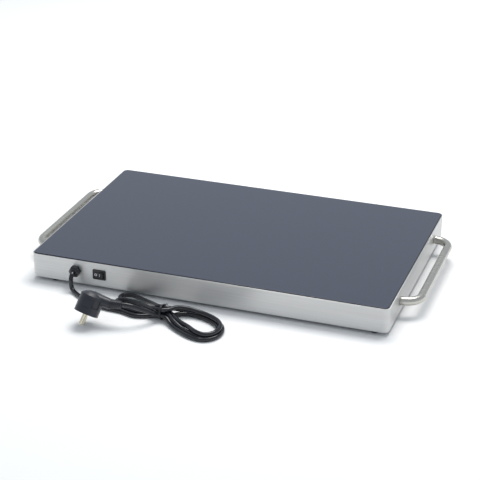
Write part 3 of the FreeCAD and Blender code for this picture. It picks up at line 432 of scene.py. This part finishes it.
class StageSettings(bpy.types.PropertyGroup):
    """The studio's floor and light."""
    floor: bpy.props.FloatVectorProperty(
        name="Floor", description="Colour of the floor",
        default=(0.94, 0.94, 0.94), subtype="COLOR", min=0.0, max=1.0)
    low: bpy.props.FloatProperty(
        name="Walls", description="Strength of the surround at the horizon",
        default=0.74, min=0.0, max=2.0)
    high: bpy.props.FloatProperty(
        name="Ceiling", description="Strength of the surround overhead", default=0.56, min=0.0, max=2.0)
    lamp: bpy.props.FloatProperty(
        name="Top light", description="Power of the soft light overhead",
        default=51.0, min=0.0, max=400.0, unit="POWER")


class PLATE_OT_stage(bpy.types.Operator):
    """Set up the camera, the pale floor and the soft light"""
    bl_idname = "plate.stage"
    bl_label = "Studio"

    def execute(self, context):
        scene = context.scene
        settings = scene.plate_stage
        scene.view_settings.view_transform = "Standard"
        self.camera(scene)
        self.floor(scene, settings)
        self.light(scene, settings)
        return {"FINISHED"}

    def camera(self, scene):
        """Stand the camera where the photograph's perspective puts it."""
        data = bpy.data.cameras.new("camera")
        data.sensor_width = SENSOR_WIDTH
        data.lens = FOCAL_PIXELS * data.sensor_width / FRAME_PIXELS
        data.shift_x = -0.5 / FRAME_PIXELS
        data.shift_y = 0.5 / FRAME_PIXELS
        camera = bpy.data.objects.new("camera", data)
        scene.collection.objects.link(camera)
        yaw, pitch, roll = (math.radians(a) for a in (CAMERA_YAW, CAMERA_PITCH, CAMERA_ROLL))
        turn = Matrix.Rotation(yaw, 3, "Z") @ Matrix.Rotation(math.pi / 2 - pitch, 3, "X")
        turn = turn @ Matrix.Rotation(-roll, 3, "Z")
        camera.matrix_world = Matrix.Translation(CAMERA_PLACE) @ turn.to_4x4()
        scene.camera = camera

    def floor(self, scene, settings):
        """A wide pale sheet that keeps the plate's shadow."""
        made, tree, shader = start_material("Matt white card", tuple(settings.floor), {
            "Roughness": 0.9, "Specular IOR Level": 0.1})
        place = add(tree, "ShaderNodeTexCoord")
        cloud = add(tree, "ShaderNodeTexNoise", {"Scale": 2.0}, {"Vector": place.outputs["Object"]})
        rough = add(tree, "ShaderNodeMapRange", {"To Min": 0.85, "To Max": 0.95},
                    {"Value": cloud.outputs["Fac"]})
        tree.links.new(rough.outputs["Result"], shader.inputs["Roughness"])
        reach = 12.0
        corners = [(-reach, -reach, 0), (reach, -reach, 0), (reach, reach, 0), (-reach, reach, 0)]
        mesh_piece("floor", corners, [(0, 1, 2, 3)], made)

    def light(self, scene, settings):
        """A cool surround, brighter at the walls than overhead, and one soft light above and behind."""
        world = bpy.data.worlds.new("Surround")
        world.use_nodes = True
        scene.world = world
        tree = world.node_tree
        back = tree.nodes["Background"]
        back.inputs["Color"].default_value = (0.87, 0.93, 1.0, 1.0)
        place = add(tree, "ShaderNodeTexCoord")
        height = add(tree, "ShaderNodeSeparateXYZ", {}, {"Vector": place.outputs["Generated"]})
        room = add(tree, "ShaderNodeMapRange",
                   {"From Max": 0.8, "To Min": settings.low, "To Max": settings.high},
                   {"Value": height.outputs["Z"]})
        path = add(tree, "ShaderNodeLightPath")
        white = add(tree, "ShaderNodeMix", {3: 1.0},
                    {0: path.outputs["Is Camera Ray"], 2: room.outputs["Result"]})
        tree.links.new(white.outputs[0], back.inputs["Strength"])
        data = bpy.data.lights.new("top_light", "AREA")
        data.shape = "RECTANGLE"
        data.size = 1.8
        data.size_y = 1.2
        data.energy = settings.lamp
        data.color = (1.0, 0.985, 0.96)
        lamp = bpy.data.objects.new("top_light", data)
        scene.collection.objects.link(lamp)
        place = Vector((0.10, 0.80, 2.3))
        lamp.matrix_world = Matrix.Translation(place) @ (Vector((0, 0, 0)) - place).to_track_quat(
            "-Z", "Y").to_matrix().to_4x4()


class PLATE_OT_cord(bpy.types.Operator):
    """Lay the mains cord from the gland, through its tied hank, to the plug"""
    bl_idname = "plate.cord"
    bl_label = "Mains cord and tie"

    def execute(self, context):
        settings = context.scene.plate_cord
        made = moulded("Black PVC sheath", tuple(settings.sheath), 0.0006, 0.00001, 0.1, 0.2)
        cord = nurbs("mains_cord", cord_points(settings.spread), settings.diameter / 2, made)
        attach(cord, PLATE)
        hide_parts("cord_lead", "cord_hank", "cord_tail")
        dress(made, "cord_inlet")
        tie = self.tie(settings)
        return {"FINISHED"}

    def tie(self, settings):
        """Two turns of coated wire round the bundle, then the twisted end."""
        made = moulded("Black vinyl-coated wire", srgb("#232427"), 0.0005, 0.00003, 0.3, 0.45)
        x, y, z = TIE
        reach = settings.spread + settings.diameter / 2 + settings.wire / 2
        steps = 16
        points = []
        for i in range(2 * steps + 1):
            angle = math.radians(80 + 360 * i / steps)
            points.append((x + settings.wire * (i / steps - 1), y + reach * math.cos(angle),
                           z + reach * math.sin(angle)))
        for i in range(1, 10):
            twist = math.radians(110 * i)
            points.append((x + 0.0007 * i, y + reach * 0.17 + 0.0006 * i + 0.0007 * math.cos(twist),
                           z + reach - 0.0001 * i + 0.0007 * math.sin(twist)))
        tie = nurbs("cord_tie_wire", points, settings.wire / 2, made, sides=3, finish=3)
        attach(tie, PLATE)
        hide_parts("cord_tie")
        return tie


class PLATE_OT_shell(bpy.types.Operator):
    """Finish the shell, its handles and its fasteners"""
    bl_idname = "plate.shell"
    bl_label = "Shell and handles"

    def execute(self, context):
        settings = context.scene.plate_finish
        dress(brushed_stainless(settings), "housing")
        dress(satin_bar(settings), "handle_left", "handle_right")
        # Zinc-coated sheet has a dull pale surface with a faint spangle
        dress(plated("Zinc-coated sheet", srgb("#A9ACAE"), 0.35, 0.55, 0.006),
              "base_plate", "glass_ledge", "heater_tray")
        # Zinc-plated screws are brighter and slightly blue
        dress(plated("Zinc-plated screw steel", srgb("#B9BDC2"), 0.25, 0.4, 0.002),
              "base_screws", "foot_screws", "foot_nuts", "handle_screws", "handle_washers",
              "tray_screws", "block_screws", "limiter_screws")
        return {"FINISHED"}


class PLATE_OT_glass(bpy.types.Operator):
    """Finish the glass and the silicone joint round it"""
    bl_idname = "plate.glass"
    bl_label = "Glass and joint"

    def execute(self, context):
        dress(printed_glass(context.scene.plate_finish), "glass_top")
        dress(moulded("Black silicone joint", srgb("#141416"), 0.0012, 0.00004, 0.4, 0.6), "glass_seal")
        return {"FINISHED"}


class PLATE_OT_fittings(bpy.types.Operator):
    """Finish the gland, the feet and the plug"""
    bl_idname = "plate.fittings"
    bl_label = "Gland, feet and plug"

    def execute(self, context):
        settings = context.scene.plate_finish
        black = tuple(settings.black)
        # Polyamide moulded in a polished tool: dark with a soft shine
        dress(moulded("Black polyamide", tuple(c * 0.45 for c in black), 0.0008, 0.00002, 0.2, 0.32),
              "gland_body", "gland_nut", "gland_locknut")
        # Rubber has no shine to speak of
        dress(moulded("Black rubber", srgb("#1B1B1D"), 0.0009, 0.00005, 0.6, 0.8),
              "gland_seal", "foot_front_left", "foot_front_right", "foot_rear_left", "foot_rear_right")
        # Soft PVC over-moulding with a 0.5 mm spark-eroded grain
        dress(moulded("Black moulded PVC", black, 0.0005, 0.00004, 0.3, 0.44), "plug_case")
        # Nickel over brass keeps a warm tone
        dress(plated("Nickel-plated brass", tuple(settings.pins), 0.18, 0.32, 0.003),
              "plug_pins", "plug_earth_clips")
        return {"FINISHED"}


class PLATE_OT_switch(bpy.types.Operator):
    """Finish the rocker switch and print its two plain marks"""
    bl_idname = "plate.switch"
    bl_label = "Rocker switch"

    def execute(self, context):
        dress(moulded("Black polycarbonate bezel", srgb("#1D1D20"), 0.0006, 0.00002, 0.25, 0.38),
              "switch_body")
        dress(moulded("Black polycarbonate rocker", srgb("#222226"), 0.0006, 0.00002, 0.22, 0.34),
              "switch_rocker")
        ink = moulded("White pad-printed ink", srgb("#E6E7EA"), 0.0004, 0.00001, 0.4, 0.5)
        pivot = Vector(frame["record"]["behaviour"]["joints"][0]["pos_m"])
        self.ring(pivot, ink)
        self.bar(pivot, ink)
        return {"FINISHED"}

    def ring(self, pivot, ink):
        """The round off mark on the half that is down."""
        outer, inner, lift, count = 0.0022, 0.0015, 0.00004, 40
        corners = []
        for radius, off in ((inner, 0.0), (inner, lift), (outer, lift), (outer, 0.0)):
            for i in range(count):
                angle = 2 * math.pi * i / count
                corners.append(rocker_face(pivot, -1, 0.0050 - radius * math.cos(angle),
                                           radius * math.sin(angle), off))
        faces = []
        for band in range(3):
            for i in range(count):
                j = (i + 1) % count
                a, b = band * count, (band + 1) * count
                faces.append((a + i, a + j, b + j, b + i))
        mark = mesh_piece("off_mark", corners, faces, ink)
        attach(mark, ROCKER)

    def bar(self, pivot, ink):
        """The straight on mark on the half that is up."""
        half_width, half_height, lift = 0.0004, 0.0021, 0.00004
        corners = []
        for off in (0.0, lift):
            for u, v in ((-1, -1), (1, -1), (1, 1), (-1, 1)):
                corners.append(rocker_face(pivot, 1, 0.0020 + u * half_width, v * half_height, off))
        faces = [(4, 5, 6, 7), (0, 1, 5, 4), (1, 2, 6, 5), (2, 3, 7, 6), (3, 0, 4, 7)]
        mark = mesh_piece("on_mark", corners, faces, ink)
        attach(mark, ROCKER)


class PLATE_OT_inside(bpy.types.Operator):
    """Finish what is inside the closed shell"""
    bl_idname = "plate.inside"
    bl_label = "Inside parts"

    def execute(self, context):
        dress(moulded("Red-brown silicone mat", srgb("#8A3A22"), 0.0015, 0.0001, 0.5, 0.65),
              "heating_mat")
        dress(moulded("Mineral-fibre mat", srgb("#D9D3C2"), 0.003, 0.0006, 0.85, 0.98),
              "insulation_board")
        dress(plated("Tinned brass", srgb("#C9B37A"), 0.25, 0.4, 0.002),
              "switch_terminals", "earth_stud", "earth_nut", "earth_tag")
        dress(moulded("Ivory polyamide", srgb("#DCD8C8"), 0.001, 0.00005, 0.4, 0.55), "terminal_block")
        dress(plated("Pressed aluminium can", srgb("#C9CACC"), 0.3, 0.42, 0.002), "thermal_limiter")
        dress(moulded("Brown PVC insulation", srgb("#5A3520"), 0.001, 0.00003, 0.4, 0.5),
              "core_live_supply", "core_live_switched", "core_live_heater")
        dress(moulded("Blue PVC insulation", srgb("#2B5FA8"), 0.001, 0.00003, 0.4, 0.5),
              "core_neutral_supply", "core_neutral_heater")
        dress(earth_core(srgb("#3C8A34"), srgb("#D8C832")), "core_earth")
        return {"FINISHED"}


STEPS = (PLATE_OT_stage, PLATE_OT_cord, PLATE_OT_shell, PLATE_OT_glass, PLATE_OT_fittings,
         PLATE_OT_switch, PLATE_OT_inside)


class PLATE_PT_panel(bpy.types.Panel):
    """Lists the steps that dress the plate"""
    bl_label = "Warming plate"
    bl_idname = "PLATE_PT_panel"
    bl_space_type = "VIEW_3D"
    bl_region_type = "UI"
    bl_category = "Warming plate"

    def draw(self, context):
        for step in STEPS:
            self.layout.operator(step.bl_idname)
        for group in ("plate_cord", "plate_finish", "plate_stage"):
            settings = getattr(context.scene, group)
            for name in settings.__annotations__:
                self.layout.prop(settings, name)


CLASSES = (CordSettings, FinishSettings, StageSettings, *STEPS, PLATE_PT_panel)


def register():
    for made in CLASSES:
        bpy.utils.register_class(made)
    bpy.types.Scene.plate_cord = bpy.props.PointerProperty(type=CordSettings)
    bpy.types.Scene.plate_finish = bpy.props.PointerProperty(type=FinishSettings)
    bpy.types.Scene.plate_stage = bpy.props.PointerProperty(type=StageSettings)


def unregister():
    for name in ("plate_stage", "plate_finish", "plate_cord"):
        delattr(bpy.types.Scene, name)
    for made in reversed(CLASSES):
        bpy.utils.unregister_class(made)


def main():
    """Register the add-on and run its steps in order."""
    register()
    bpy.ops.plate.stage()
    bpy.ops.plate.cord()
    bpy.ops.plate.shell()
    bpy.ops.plate.glass()
    bpy.ops.plate.fittings()
    bpy.ops.plate.switch()
    bpy.ops.plate.inside()


if __name__ == "__main__":
    main()
